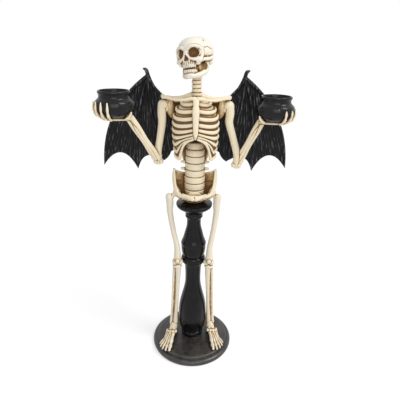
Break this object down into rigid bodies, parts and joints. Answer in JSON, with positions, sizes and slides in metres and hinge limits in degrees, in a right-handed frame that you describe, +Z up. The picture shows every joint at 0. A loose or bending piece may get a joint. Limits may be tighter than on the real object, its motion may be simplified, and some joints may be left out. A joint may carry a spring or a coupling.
{
  "type": "skeleton candle holder",
  "caption": "Cast resin skeleton with bat wings on a turned column and round base, holding up a small cauldron for a tealight in each hand.",
  "frame": {"origin": "centre of the base's flat underside", "axes": "+Z up, +X towards the figure's own left hand, -Y the way the figure faces"},
  "size_m": [0.314, 0.1472, 0.541],
  "materials": {
    "base": "gloss black enamel over cast resin",
    "column": "gloss black enamel over cast resin",
    "torso": "ivory paint with a brown wash in the hollows, over cast resin",
    "skull": "ivory paint with a brown wash in the hollows, over cast resin",
    "cauldron_right": "gloss black enamel over cast resin",
    "cauldron_left": "gloss black enamel over cast resin",
    "arm_right": "ivory paint with a brown wash in the hollows, over cast resin",
    "arm_left": "ivory paint with a brown wash in the hollows, over cast resin",
    "leg_right": "ivory paint with a brown wash in the hollows, over cast resin",
    "leg_left": "ivory paint with a brown wash in the hollows, over cast resin",
    "wing_right": "satin black paint over cast resin",
    "wing_left": "satin black paint over cast resin"
  },
  "bodies": {
    "root": {"base": "base", "column": "column", "torso": "torso", "skull": "skull", "cauldron_right": "cauldron_right", "cauldron_left": "cauldron_left", "arm_right": "arm_right", "arm_left": "arm_left", "leg_right": "leg_right", "leg_left": "leg_left", "wing_right": "wing_right", "wing_left": "wing_left"}
  },
  "joints": []
}
